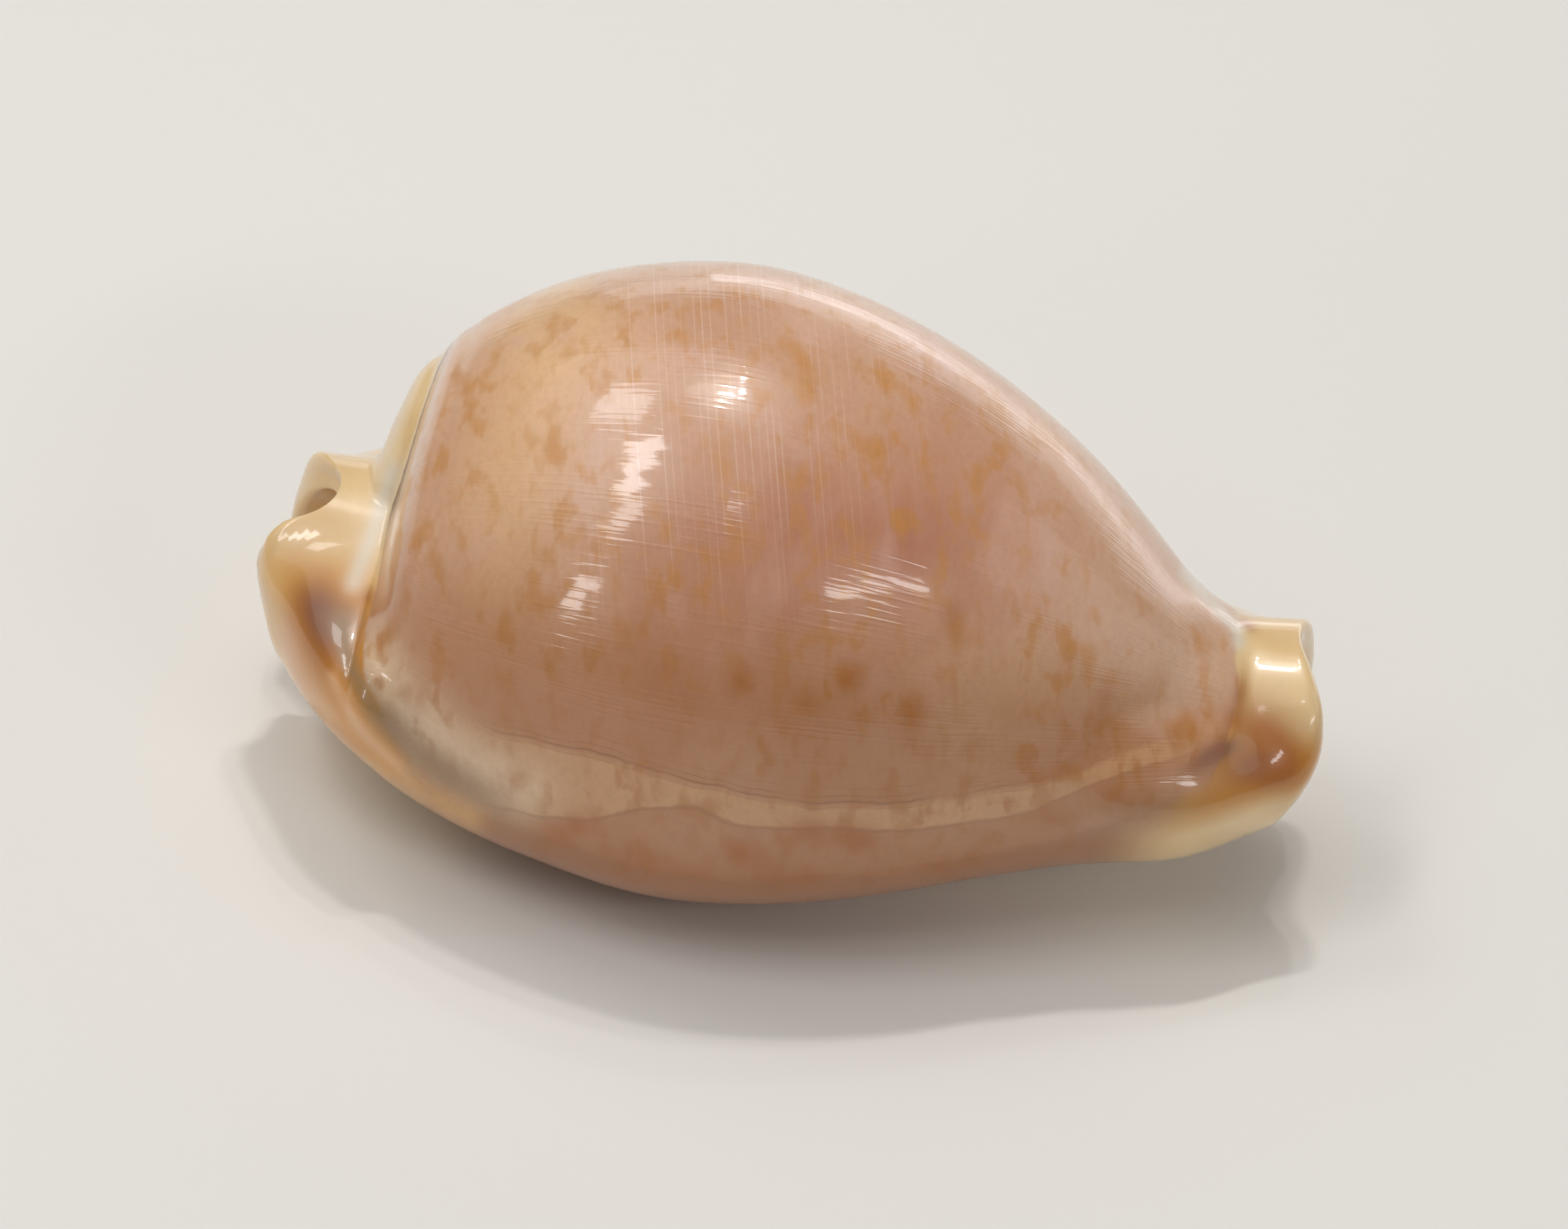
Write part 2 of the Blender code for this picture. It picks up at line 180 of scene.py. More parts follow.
def outer(x, phi):
    body, sole, rear, front = outer_parts(x, phi)
    fillet = 2.6 - 1.3 * (1 - ramp(-24.0, -14.0, x)) * np.clip(-np.cos(phi), 0, 1)
    valley = ramp(140.0, 156.0, wrap(phi)) * (1 - ramp(176.0, 190.0, wrap(phi)))
    fillet = fillet + valley * (3.8 * (1 - ramp(-25.0, -22.0, x)) + 2.6 * ramp(18.0, 23.0, x))
    return blend(blend(blend(body, sole, fillet), rear, 1.8), front, 1.6)


def inner(x, phi):
    swell = curve(x, SWELL_X, SWELL) * ramp(-25.5, -19.0, x) * (1 - ramp(14.0, 25.0, x))
    body = oval(phi, HALF_LABRAL * swell, HALF_COLUMELLAR * swell, DOME * swell, KEEL * swell, 2.0, 2.7)
    cavity = np.maximum(body - WALL - FLOOR * np.clip(-np.sin(phi), 0, 1) ** 1.5, 0.0)
    half = curve(x, SLIT_X, SLIT_HALF) + 0.5
    canal = oval(phi, half, half, curve(x, CANAL_X, CANAL_TOP),
                 np.maximum(curve(x, BASE_X, BASE) - 3.4, 1.6), 2.2, 2.2)
    return blend(cavity, canal, 1.5)


def rim(table, phi):
    return curve(wrap(phi), *table)


def tooth(x, side):
    """Height of the lip's toothing, 0 to 1, at x: one ridge each 2.1 mm or so."""
    pitch, lag = (2.05, 0.3) if side < 0 else (2.3, 1.1)
    wave = 0.5 + 0.5 * math.cos(2 * math.pi * ((x + lag) / pitch + 0.08 * math.sin(x * 0.9)))
    return wave ** 1.6 * float(ramp(-29.0, -25.0, x) * (1 - ramp(27.0, 30.5, x)))


def beyond(points, phi, line):
    """How far the points lie below a line along the margin, on either side of the shell."""
    x, y, z = points.T
    labral = np.cos(phi) < 0
    high = np.where(labral, y, -y - 1.0) * math.sin(TILT) + z * math.cos(TILT)
    return np.clip(curve(np.where(labral, x, -0.9 * x - 3.0), *line) - high, -6.0, 6.0)


def section(x, shrink=1.0):
    """One ring of the wall: outside from the outer lip over the back to the columella,
    that lip's face, the inside back again, and the outer lip's face. Below shrink 1 the
    ring closes up towards the middle of the wall, which rounds a rim."""
    at_rear = max(0.0, 1 - (x - REAR) / NOTCH_REACH) ** 2
    at_front = max(0.0, 1 - (FRONT - x) / NOTCH_REACH) ** 2

    def bent(phi):
        return x + (rim(REAR_RIM, phi) - REAR) * at_rear + (rim(FRONT_RIM, phi) - FRONT) * at_front

    def place(phi, r):
        return np.stack([bent(phi), r * np.cos(phi), r * np.sin(phi)], axis=-1)

    down = 1.5 * np.pi + float(np.arctan2(curve(x, SLIT_X, SLIT_Y), curve(x, BASE_X, BASE)))
    half = float(curve(x, SLIT_X, SLIT_HALF)) + 0.7 * (1 - shrink)
    ridges = {side: tooth(x, side) for side in (-1, 1)}
    lips = []
    for side in (-1, 1):
        sweep = half - 0.42 * ridges[side] + LIP_RADIUS * (1 - np.cos(np.linspace(0, np.pi / 2, LIP_POINTS)))
        phi = np.full(LIP_POINTS, down)
        for _ in range(8):
            phi = down + side * np.arcsin(np.clip(sweep / outer(bent(phi), phi), 0, 0.95))
        lips.append(phi if side < 0 else phi - 2 * np.pi)
    # closer spacing near the lips, where the teeth run out over the base
    t = np.linspace(0, 1, OUTER_POINTS)
    t = t - 0.07 * np.sin(2 * np.pi * t)
    middle = lips[0][-1] + (lips[1][-1] - lips[0][-1]) * t
    phi = np.concatenate([lips[0][:-1], middle, lips[1][-2::-1]])
    body, sole, rear, front = outer_parts(bent(phi), phi)
    margins = np.maximum(sole, np.maximum(rear, front))
    r = outer(bent(phi), phi)
    lateral = r * np.sin(phi - down)
    below = np.cos(phi - down) > 0
    side = np.sign(lateral)
    ridge = np.where(side < 0, ridges[-1], ridges[1])
    off = np.abs(lateral) - (half - 0.42 * ridge)
    u = 1 - np.clip(off / LIP_RADIUS, 0, 1)
    cut = LIP_RADIUS - np.sqrt(np.maximum(LIP_RADIUS ** 2 * (1 - u * u), 0))
    reach = np.where(side < 0, 3.6, 2.2)
    raised = 0.22 * (ridge - 0.35) * (1 - ramp(0.3, 1.0, off / reach)) * ramp(0.0, 0.25, off / reach + 0.15)
    layers = {name: beyond(place(phi, r), phi, line) for name, line in (("fold", FOLD), ("lobes", LOBES), ("hem", HEM))}
    thick = FOLD_STEP * ramp(-21.0, -14.0, bent(phi)) * (1 - ramp(21.0, 26.0, bent(phi)))
    step = thick * (ramp(-0.35, 0.35, layers["fold"]) + 0.5 * ramp(0.35, -0.35, layers["lobes"]) - 0.5)
    outside = place(phi, r + step + np.where(below, raised - cut, 0))
    lip_mask = np.where(below, 1 - ramp(0.6, 1.6, off / 2.4), 0.0)
    tone = np.where(below, ridge, 0.0)
    extremity = ramp(-1.6, 1.8, margins - body) * np.maximum(
        1 - ramp(-25.0, -15.0, bent(phi)), ramp(15.0, 25.0, bent(phi)))
    degrees = wrap(phi)
    tan = (ramp(13.0, 18.0, bent(phi)) * (1 - ramp(27.0, 28.2, bent(phi)))
           * ramp(110.0, 135.0, degrees) * (1 - ramp(174.0, 190.0, degrees)))
    edge = np.clip(margins - body - 3.2 * tan, -6.0, 6.0)
    start = float(inner(np.array([bent(down)]), np.array([down]))[0])
    gap = float(np.arcsin(min(half / start, 0.9)))
    phi_in = np.linspace(down - gap, down - 2 * np.pi + gap, INNER_POINTS)
    inside = place(phi_in, inner(bent(phi_in), phi_in))
    share = np.linspace(0, 1, FACE_POINTS + 2)[1:-1, None]
    ring = np.concatenate([outside, outside[-1] + (inside[-1] - outside[-1]) * share,
                           inside[::-1], inside[0] + (outside[0] - inside[0]) * share])
    n = len(outside)
    at = np.linspace(0, INNER_POINTS - 1, n)
    facing = np.stack([np.interp(at, np.arange(INNER_POINTS), inside[:, k]) for k in range(3)], axis=-1)
    spine = (outside + facing) / 2
    match = np.round(np.linspace(0, n - 1, INNER_POINTS)).astype(int)
    centre = np.concatenate([spine, np.repeat(spine[-1:], FACE_POINTS, axis=0),
                             spine[match][::-1], np.repeat(spine[:1], FACE_POINTS, axis=0)])
    within = np.concatenate([np.zeros(n), share[:, 0], np.ones(INNER_POINTS), share[::-1, 0]])

    def spread(values, fill=0.0):
        return np.concatenate([values, np.full(FACE_POINTS, values[-1]),
                               np.full(INNER_POINTS, fill), np.full(FACE_POINTS, values[0])])

    turn = np.concatenate([phi, np.full(FACE_POINTS, phi[-1]), phi_in[::-1], np.full(FACE_POINTS, phi[0])])
    notes = {"within": within, "extremity": spread(extremity), "edge": spread(edge, 6.0),
             "lip": spread(lip_mask), "tooth": spread(tone), "turn": turn}
    notes.update({name: spread(value, 6.0) for name, value in layers.items()})
    return centre + (ring - centre) * shrink, spine, match, notes, n


# ----------------------------------------------------------------------------------------
# Among these, some patches are painted shade, painted light or painted reflection, as noted at each.
# Markings. Each is placed by x and by h, the height above the canal line measured at right
# angles to a direction TILT above the outer-lip side, both in millimetres.
# x, h, spread along, spread across, slant in degrees, strength
RUST = ((-29.3, -3.7, 2.6, 1.5, -50.0, 0.35), (-28.4, -6.3, 2.0, 1.1, -55.0, 0.45),
        (29.5, -0.8, 1.7, 1.4, -35.0, 0.85), (31.6, -2.6, 1.6, 1.4, -60.0, 0.6), (30.0, -3.6, 1.8, 0.9, 10.0, 0.7),
        (27.9, 5.4, 0.5, 0.28, -15.0, 0.9))
# purple-brown spots in the hollows at both ends, darkened further as painted shade of those hollows
PLUM_AND_SHADE = ((-29.1, -3.9, 1.8, 1.15, -35.0, 0.8), (-28.5, -5.6, 1.6, 0.9, -62.0, 0.5),
        (27.4, -2.6, 1.0, 0.45, 38.0, 1.0), (26.0, -3.9, 1.1, 0.4, 42.0, 0.6), (29.3, -3.2, 1.6, 0.8, 20.0, 0.5))
# painted shade: greyish brown in the valleys where the body meets the margins at both ends
HOLLOW_SHADE = ((-27.2, -4.4, 0.8, 0.9, -70.0, 0.9), (25.6, -5.7, 2.6, 1.2, 30.0, 0.6), (22.6, -7.4, 2.6, 0.9, 22.0, 0.5))
UMBER = ((-26.3, -2.7, 0.40, 0.45, 0.0, 1.0), (28.1, 1.1, 0.32, 0.95, 0.0, 0.9), (28.0, -0.8, 0.55, 0.6, 0.0, 0.8))
# a pale band low on the outer-lip side towards the rear: partly the margin's paler tone, partly a painted reflection of
# the floor
PALE = ((-25.4, -6.2), (-23.3, -8.6), (-20.8, -10.2), (-18.0, -11.6), (-14.6, -12.6))
# patches of painted light: a lighter straw colour where the shell is most brightly lit
PAINTED_LIGHT_SPOTS = ((-18.6, 8.5, 2.6, 7.5, 0.0, 0.8), (-17.6, 16.5, 2.2, 2.4, 0.0, 1.0), (14.5, -3.0, 6.5, 3.2, 0.0, 0.35))
MAUVE = ((2.6, 5.0, 7.5, 4.2, 0.0, 1.0), (-8.0, -4.0, 6.0, 3.5, 0.0, 0.45), (12.0, 9.0, 6.0, 4.0, -25.0, 0.35))
BLOTS = ((-12.24, -15.0, 0.75, 0.5, 0, 0.8), (-10.9, -14.1, 0.6, 0.55, 0, 0.9), (-6.47, -15.5, 0.9, 0.5, 0, 0.8),
         (-3.73, -15.7, 0.9, 0.4, 0, 0.5), (-0.92, -14.0, 0.62, 0.62, 0, 1.2), (-14.9, -11.9, 0.5, 0.5, 0, 0.6),
         (3.14, -11.8, 0.9, 0.5, 0, 0.9), (6.05, -11.9, 0.9, 0.62, 0, 1.1), (3.3, -14.8, 0.9, 0.45, 0, 0.7),
         (11.1, -12.8, 0.8, 0.45, 0, 0.8), (13.6, -11.6, 0.6, 0.5, 0, 0.6), (17.4, -8.6, 0.5, 0.45, 0, 0.7),
         (18.6, -8.6, 0.5, 0.45, 0, 0.7), (21.1, -6.9, 0.6, 0.45, 0, 0.5), (-21.8, -8.2, 0.4, 0.7, 0, 0.5),
         (3.72, -2.3, 0.6, 0.6, 0, 0.9), (-2.66, -3.6, 0.55, 0.6, 0, 0.8), (1.43, -4.2, 0.8, 0.6, 0, 0.6),
         (7.87, -3.8, 0.6, 0.8, 0, 0.8), (9.2, 2.6, 0.5, 0.9, 0, 0.5), (19.5, -1.0, 0.4, 1.0, 0, 0.4))
# painted shade along the channel between the outer lip's rear flange and the body
GROOVE_SHADE = ((-27.6, -4.6), (-26.6, -6.9), (-24.6, -9.3), (-21.3, -11.7), (-17.5, -13.3), (-14.0, -14.2))
GOLD = ((-27.6, -9.4), (-24.2, -12.4), (-20.8, -14.3), (-17.8, -15.0))
CREST = ((-27.4, -7.9), (-26.4, -9.5), (-24.6, -11.3), (-22.4, -12.8), (-20.4, -14.1))
MILKY_REAR = ((-26.6, 5.2), (-26.8, 2.6), (-27.2, -0.4), (-27.4, -2.0))
MILKY_FRONT = ((23.6, 7.9), (25.9, 6.1), (27.3, 5.0), (27.5, 4.2))


def soft_patches(x, h, spots):
    total = np.zeros_like(x)
    for x0, h0, long, short, slant, strength in spots:
        c, s = math.cos(math.radians(slant)), math.sin(math.radians(slant))
        u, v = ((x - x0) * c + (h - h0) * s) / long, ((h - h0) * c - (x - x0) * s) / short
        total += strength * np.exp(-0.5 * (u * u + v * v))
    return np.minimum(total, 1.0)


def near(x, h, path):
    """Distance to a path through the points, in the plane of x and h."""
    best = np.full(x.shape, 1e9)
    for (x0, h0), (x1, h1) in zip(path, path[1:]):
        t = np.clip(((x - x0) * (x1 - x0) + (h - h0) * (h1 - h0)) / ((x1 - x0) ** 2 + (h1 - h0) ** 2), 0, 1)
        best = np.minimum(best, np.hypot(x - x0 - t * (x1 - x0), h - h0 - t * (h1 - h0)))
    return best


def markings(points, notes):
    x, y, z = points.T
    phi = np.degrees(notes["turn"])
    outside = 1 - np.clip(notes["within"] * 4, 0, 1)
    h = y * math.sin(TILT) + z * math.cos(TILT)
    labral = ramp(48.0, 62.0, phi) * (1 - ramp(225.0, 240.0, phi)) * outside
    other = (1 - ramp(48.0, 66.0, phi)) * outside
    far = -y * math.sin(TILT) + z * math.cos(TILT)
    found = {"along": x / FRONT}
    for name, spots in (("rust", RUST), ("plum_and_shade", PLUM_AND_SHADE), ("hollow_shade", HOLLOW_SHADE), ("umber", UMBER),
                        ("painted_light", PAINTED_LIGHT_SPOTS), ("mauve", MAUVE)):
        found[name] = soft_patches(x, h, spots) * labral
    found["blot"] = (soft_patches(x, h, BLOTS) * labral
                     + soft_patches(-x * 0.9 - 3.1, far + 1.0, BLOTS) * other * (1 - notes["extremity"]))
    width = 0.55 + 0.75 * ramp(-28.0, -21.0, x)
    # painted shade along that channel
    found["groove_shade"] = np.exp(-(near(x, h, GROOVE_SHADE) / width) ** 2) * labral * ramp(150.0, 160.0, phi) * (1 - ramp(-18.0, -14.0, x) * 0.8)
    found["crest"] = np.exp(-(near(x, h, CREST) / 0.4) ** 2) * labral * ramp(160.0, 170.0, phi)
    found["gold"] = np.exp(-(near(x, h, GOLD) / 1.1) ** 2) * labral
    # pale band: partly the margin's paler tone, partly painted reflection
    found["pale"] = np.exp(-(near(x, h, PALE) / 1.8) ** 2) * labral
    milky = np.maximum(np.exp(-(near(x, h, MILKY_REAR) / 0.65) ** 2), np.exp(-(near(x, h, MILKY_FRONT) / 0.5) ** 2))
    found["milky"] = milky * labral
    sides = np.maximum(ramp(90.0, 110.0, phi), 1 - ramp(70.0, 90.0, phi)) * outside
    found["reach"] = sides * ramp(-20.0, -13.0, x) * (1 - ramp(23.0, 28.0, x))
    # low: painted shade, a mask for the lower flanks and the underside, which lie in shade under the top light
    found["low"] = (0.65 * np.maximum(ramp(126.0, 160.0, phi), 1 - ramp(20.0, 54.0, phi))
                    + 0.35 * np.maximum(ramp(178.0, 198.0, phi), 1 - ramp(-18.0, 2.0, phi))) * outside
    found["sole"] = np.maximum(ramp(212.0, 236.0, phi), 1 - ramp(-56.0, -32.0, phi)) * outside
    found["striae"] = ramp(-16.5, -12.5, x) * (1 - 0.55 * ramp(-3.0, 1.0, x)) * (1 - ramp(3.0, 7.0, x)) * ramp(35.0, 60.0, phi) * (1 - ramp(112.0, 150.0, phi))
    return found


def wall():
    """Points, faces and per-point notes of the whole wall."""
    quarter = np.linspace(0, 1, 7)[:-1]
    plan = [(REAR + RIM_DEPTH * (1 - math.cos(t * math.pi / 2)), math.sin(t * math.pi / 2)) for t in quarter]
    x = REAR + RIM_DEPTH
    while x < FRONT - RIM_DEPTH:
        plan.append((x, 1.0))
        x += RING_STEP * (0.6 if x < -23.0 else 1.0)
    plan += [(FRONT - RIM_DEPTH * (1 - math.cos(t * math.pi / 2)), math.sin(t * math.pi / 2))
             for t in quarter[::-1]]
    points, faces, starts, notes = [], [], [], []
    count = 0
    for x, shrink in plan:
        ring, spine, match, note, n = section(x, shrink)
        if shrink == 0:
            ring = spine
            note = {k: v[:n] for k, v in note.items()}
        starts.append(count)
        count += len(ring)
        points.append(ring)
        notes.append(note)
    size = n + 2 * FACE_POINTS + INNER_POINTS
    first_inner = n + FACE_POINTS
    for a, b in zip(starts[1:-2], starts[2:-1]):
        for k in range(size):
            j = (k + 1) % size
            faces.append((a + k, b + k, b + j, a + j))
    for edge, ring, flip in ((starts[0], starts[1], False), (starts[-1], starts[-2], True)):
        strip = [(edge + k, edge + k + 1, ring + k + 1, ring + k) for k in range(n - 1)]
        inside = [ring + first_inner + INNER_POINTS - 1 - j for j in range(INNER_POINTS)]
        for j in range(INNER_POINTS - 1):
            lo, hi = match[j], match[j + 1]
            strip += [(inside[j], edge + k + 1, edge + k) for k in range(lo, hi)]
            strip.append((inside[j], inside[j + 1], edge + hi))
        far = [ring + n - 1 + k for k in range(FACE_POINTS + 2)]
        near = [ring + (first_inner + INNER_POINTS - 1 + k) % size for k in range(FACE_POINTS + 2)]
        strip += [(edge + n - 1, q, p) for p, q in zip(far, far[1:])]
        strip += [(edge, q, p) for p, q in zip(near, near[1:])]
        faces += strip if flip else [f[::-1] for f in strip]
    points = np.concatenate(points)
    notes = {k: np.concatenate([note[k] for note in notes]) for k in notes[0]}
    notes.update(markings(points, notes))
    points[:, 2] = np.maximum(points[:, 2], points[:, 2].min() + FLAT)
    return points, faces, notes


# ----------------------------------------------------------------------------------------
# Material helpers
class Tree:
    """Short ways to add and join shader nodes."""

    def __init__(self, name):
        self.material = bpy.data.materials.new(name)
        self.material.use_nodes = True
        self.nodes = self.material.node_tree.nodes
        self.links = self.material.node_tree.links
        self.surface = self.nodes["Principled BSDF"]

    def put(self, node, socket, value):
        target = node.inputs[socket]
        if hasattr(value, "is_output"):
            self.links.new(value, target)
        else:
            target.default_value = value

    def math(self, what, a, b=0.0, c=0.0, clamp=False):
        node = self.nodes.new("ShaderNodeMath")
        node.operation = what
        node.use_clamp = clamp
        for i, v in enumerate((a, b, c)):
            self.put(node, i, v)
        return node.outputs[0]

    def ramp(self, value, a, b, lo=0.0, hi=1.0):
        node = self.nodes.new("ShaderNodeMapRange")
        node.interpolation_type = "SMOOTHSTEP"
        for name, v in (("Value", value), ("From Min", a), ("From Max", b), ("To Min", lo), ("To Max", hi)):
            self.put(node, name, v)
        return node.outputs["Result"]

    def note(self, name):
        node = self.nodes.new("ShaderNodeAttribute")
        node.attribute_name = name
        return node.outputs["Fac"]

    def scaled(self, vector, scale, offset=(0, 0, 0)):
        node = self.nodes.new("ShaderNodeVectorMath")
        node.operation = "MULTIPLY_ADD"
        self.links.new(vector, node.inputs[0])
        node.inputs[1].default_value = scale
        node.inputs[2].default_value = offset
        return node.outputs[0]

    def sheared(self, vector, lean):
        """The vector with its first component measured along the lean."""
        dot = self.nodes.new("ShaderNodeVectorMath")
        dot.operation = "DOT_PRODUCT"
        self.links.new(vector, dot.inputs[0])
        dot.inputs[1].default_value = lean
        parts = self.nodes.new("ShaderNodeSeparateXYZ")
        self.links.new(vector, parts.inputs[0])
        whole = self.nodes.new("ShaderNodeCombineXYZ")
        self.links.new(dot.outputs["Value"], whole.inputs[0])
        self.links.new(parts.outputs[1], whole.inputs[1])
        self.links.new(parts.outputs[2], whole.inputs[2])
        return whole.outputs[0]

    def noise(self, vector, scale, detail=2.0, roughness=0.5, distortion=0.0):
        node = self.nodes.new("ShaderNodeTexNoise")
        self.links.new(vector, node.inputs["Vector"])
        node.inputs["Scale"].default_value = scale
        node.inputs["Detail"].default_value = detail
        node.inputs["Roughness"].default_value = roughness
        node.inputs["Distortion"].default_value = distortion
        return node.outputs["Fac"]

    def spots(self, vector, scale, randomness=1.0):
        node = self.nodes.new("ShaderNodeTexVoronoi")
        node.feature = "F1"
        self.links.new(vector, node.inputs["Vector"])
        node.inputs["Scale"].default_value = scale
        node.inputs["Randomness"].default_value = randomness
        return node.outputs["Distance"], node.outputs["Color"]

    def mix(self, share, a, b, how="MIX"):
        node = self.nodes.new("ShaderNodeMix")
        node.data_type = "RGBA"
        node.blend_type = how
        self.put(node, 0, share)
        self.put(node, 6, a)
        self.put(node, 7, b)
        return node.outputs[2]


GLAZE_GAIN = (1.36, 1.32, 1.16)  # what the clear glaze takes from the colour under it


def srgb(r, g, b):
    """Display colour, 0 to 255, as a linear one with alpha."""
    linear = ((c / 255 / 12.92) if c <= 10 else ((c / 255 + 0.055) / 1.055) ** 2.4 for c in (r, g, b))
    return tuple(min(c * gain, 0.95) for c, gain in zip(linear, GLAZE_GAIN)) + (1.0,)


def glaze():
    t = Tree("shell glaze")
    where = t.nodes.new("ShaderNodeTexCoord").outputs["Object"]
    growth = t.sheared(where, (1.0, 0.17, 0.20))
    dabs = t.sheared(where, (1.0, 0.09, 0.10))
    along, turn, edge = t.note("along"), t.note("turn"), t.note("edge")
    within, lip, toothing = t.note("within"), t.note("lip"), t.note("tooth")

    def times(*values):
        total = values[0]
        for v in values[1:]:
            total = t.math("MULTIPLY", total, v, clamp=True)
        return total

    wobble = t.noise(t.scaled(where, (500, 500, 500), (1, 6, 3)), 1.0, 2.0, 0.5)
    border = t.math("ADD", edge, t.math("MULTIPLY", t.math("SUBTRACT", wobble, 0.5), 0.7))
    ends = t.math("ADD", t.ramp(along, -0.48, -0.66), t.ramp(along, 0.6, 0.78), clamp=True)
    extremity = times(ends, t.ramp(border, -0.15, 0.55))

    # the ground colour: tan, with mauve and lilac clouds, and straw-coloured patches of painted light
    broad = t.noise(t.scaled(where, (90, 60, 60)), 1.0, 2.0, 0.5)
    ground = t.mix(t.ramp(broad, 0.34, 0.66), srgb(192, 155, 135), srgb(179, 139, 118))
    ground = t.mix(times(t.note("mauve"), t.ramp(broad, 0.2, 0.6, 0.45, 1.0)), ground, srgb(165, 109, 90))
    # painted light: lighter straw patches
    ground = t.mix(times(t.note("painted_light"), 0.65), ground, srgb(206, 172, 134))
    cloud = t.noise(t.scaled(where, (210, 110, 110), (4, 9, 2)), 1.0, 2.0, 0.55, 0.3)
    ground = t.mix(times(t.ramp(cloud, 0.5, 0.72), 0.5), ground, srgb(192, 156, 148))
    fore = times(t.ramp(along, 0.3, 0.75), 0.3)
    ground = t.mix(fore, ground, srgb(180, 148, 128))
    # painted shade: the ground painted darker and browner on the lower flanks
    ground = t.mix(times(t.note("low"), 0.92), ground, srgb(148, 92, 38))
    # the layers of glaze that end along the margins
    wander = t.math("MULTIPLY", t.math("SUBTRACT", t.noise(t.scaled(where, (260, 260, 260), (8, 2, 6)), 1.0, 2.0, 0.5), 0.5), 1.1)
    fold, lobes, hem = (t.math("ADD", t.note(name), wander) for name in ("fold", "lobes", "hem"))
    band = times(t.ramp(fold, -0.1, 0.5), t.ramp(lobes, 0.14, -0.14), t.note("reach"))
    ground = t.mix(times(band, 0.6), ground, srgb(190, 150, 116))
    ground = t.mix(times(t.ramp(hem, -0.2, 0.4), t.note("reach"), 0.55), ground, srgb(140, 92, 60))
    # pale band: partly the margin's paler tone, partly painted reflection of the floor
    ground = t.mix(times(t.note("pale"), 0.8), ground, srgb(206, 184, 164))
    # pale striae across the back
    across = t.nodes.new("ShaderNodeSeparateXYZ")
    t.links.new(growth, across.inputs[0])
    drift = t.noise(t.scaled(growth, (520, 6, 6), (3, 1, 2)), 1.0, 1.0, 0.5)
    phase = t.math("ADD", t.math("MULTIPLY", across.outputs[0], 2 * math.pi / 0.00050), t.math("MULTIPLY", drift, 9.0))
    thin = t.ramp(t.math("COSINE", phase), 0.72, 0.97)
    each = t.noise(t.scaled(growth, (1500, 12, 12), (7, 3, 1)), 1.0, 0.0, 0.5)
    breaks = t.noise(t.scaled(growth, (900, 150, 150), (2, 5, 8)), 1.0, 1.0, 0.5)
    striae = times(thin, t.ramp(each, 0.36, 0.64, 0.1, 1.0), t.ramp(breaks, 0.36, 0.6, 0.2, 1.0), t.note("striae"))
    striated = times(striae, 0.40)
    # soft specks, drawn out along the growth lines
    # painted shade: the specks are painted darker on the lower flanks
    speck = t.mix(times(t.note("low"), 1.0), srgb(176, 122, 62), srgb(142, 84, 18))
    small = t.noise(t.scaled(dabs, (860, 470, 470)), 1.0, 2.0, 0.5, 0.1)
    group = t.noise(t.scaled(where, (120, 80, 80), (3, 7, 1)), 1.0, 1.0, 0.5)
    specks = times(t.ramp(small, 0.49, 0.70), t.ramp(group, 0.34, 0.60, 0.35, 1.0))
    ground = t.mix(times(specks, 0.62), ground, speck)
    coarse = t.noise(t.scaled(dabs, (430, 270, 270), (11, 2, 5)), 1.0, 1.0, 0.5, 0.1)
    ground = t.mix(times(t.ramp(coarse, 0.58, 0.76), 0.6), ground, speck)
    ground = t.mix(times(t.note("blot"), 0.85), ground, srgb(150, 86, 6))
    ground = t.mix(times(t.note("umber"), 0.9), ground, srgb(140, 88, 52))
    ground = t.mix(striated, ground, srgb(208, 184, 178))
    # the thin dark lines along the fold, broken here and there
    faint = t.ramp(along, 0.72, 0.25, 0.15, 1.0)
    along_fold = t.noise(t.scaled(where, (170, 300, 300), (1, 4, 4)), 1.0, 2.0, 0.5)
    for at, width, deep in ((-0.05, 0.10, 0.6), (-0.42, 0.07, 0.4), (0.30, 0.06, 0.3), (-0.95, 0.06, 0.25)):
        off = t.math("ABSOLUTE", t.math("SUBTRACT", fold, at))
        line = times(t.ramp(off, width, 0.3 * width), t.ramp(along_fold, 0.36, 0.56), t.note("reach"), faint)
        ground = t.mix(times(line, deep), ground, srgb(132, 88, 62))
    off = t.math("ABSOLUTE", t.math("SUBTRACT", lobes, 0.1))
    ground = t.mix(times(t.ramp(off, 0.2, 0.05), t.note("reach"), faint, 0.3), ground, srgb(132, 86, 54))
    # the finest mottling of the glaze
    grain = t.noise(t.scaled(where, (2600, 1800, 1800)), 1.0, 2.0, 0.6)
    # cream and honey ends
    soft = t.noise(t.scaled(where, (160, 160, 160)), 1.0, 1.0)
    cream = t.mix(t.ramp(soft, 0.35, 0.65), srgb(203, 179, 143), srgb(195, 167, 127))
    honey = t.mix(t.ramp(soft, 0.35, 0.65), srgb(196, 142, 52), srgb(188, 128, 42))
    side = times(t.ramp(turn, 2.45, 2.85), t.ramp(turn, 3.75, 3.35), t.ramp(within, 0.3, 0.0), t.ramp(along, -0.99, -0.88, 0.3, 1.0))
    cream = t.mix(side, cream, honey)
    brim = times(t.ramp(turn, 3.02, 3.3), t.ramp(turn, 4.3, 3.9), t.ramp(along, 0.5, 0.62), t.ramp(within, 0.3, 0.0))
    cream = t.mix(times(brim, 0.85), cream, srgb(208, 186, 146))
    cream = t.mix(times(t.note("rust"), 0.85), cream, srgb(148, 84, 34))
    # purple-brown spots with painted shade of the end hollows, on the cream
    cream = t.mix(times(t.note("plum_and_shade"), 0.85), cream, srgb(102, 64, 54))
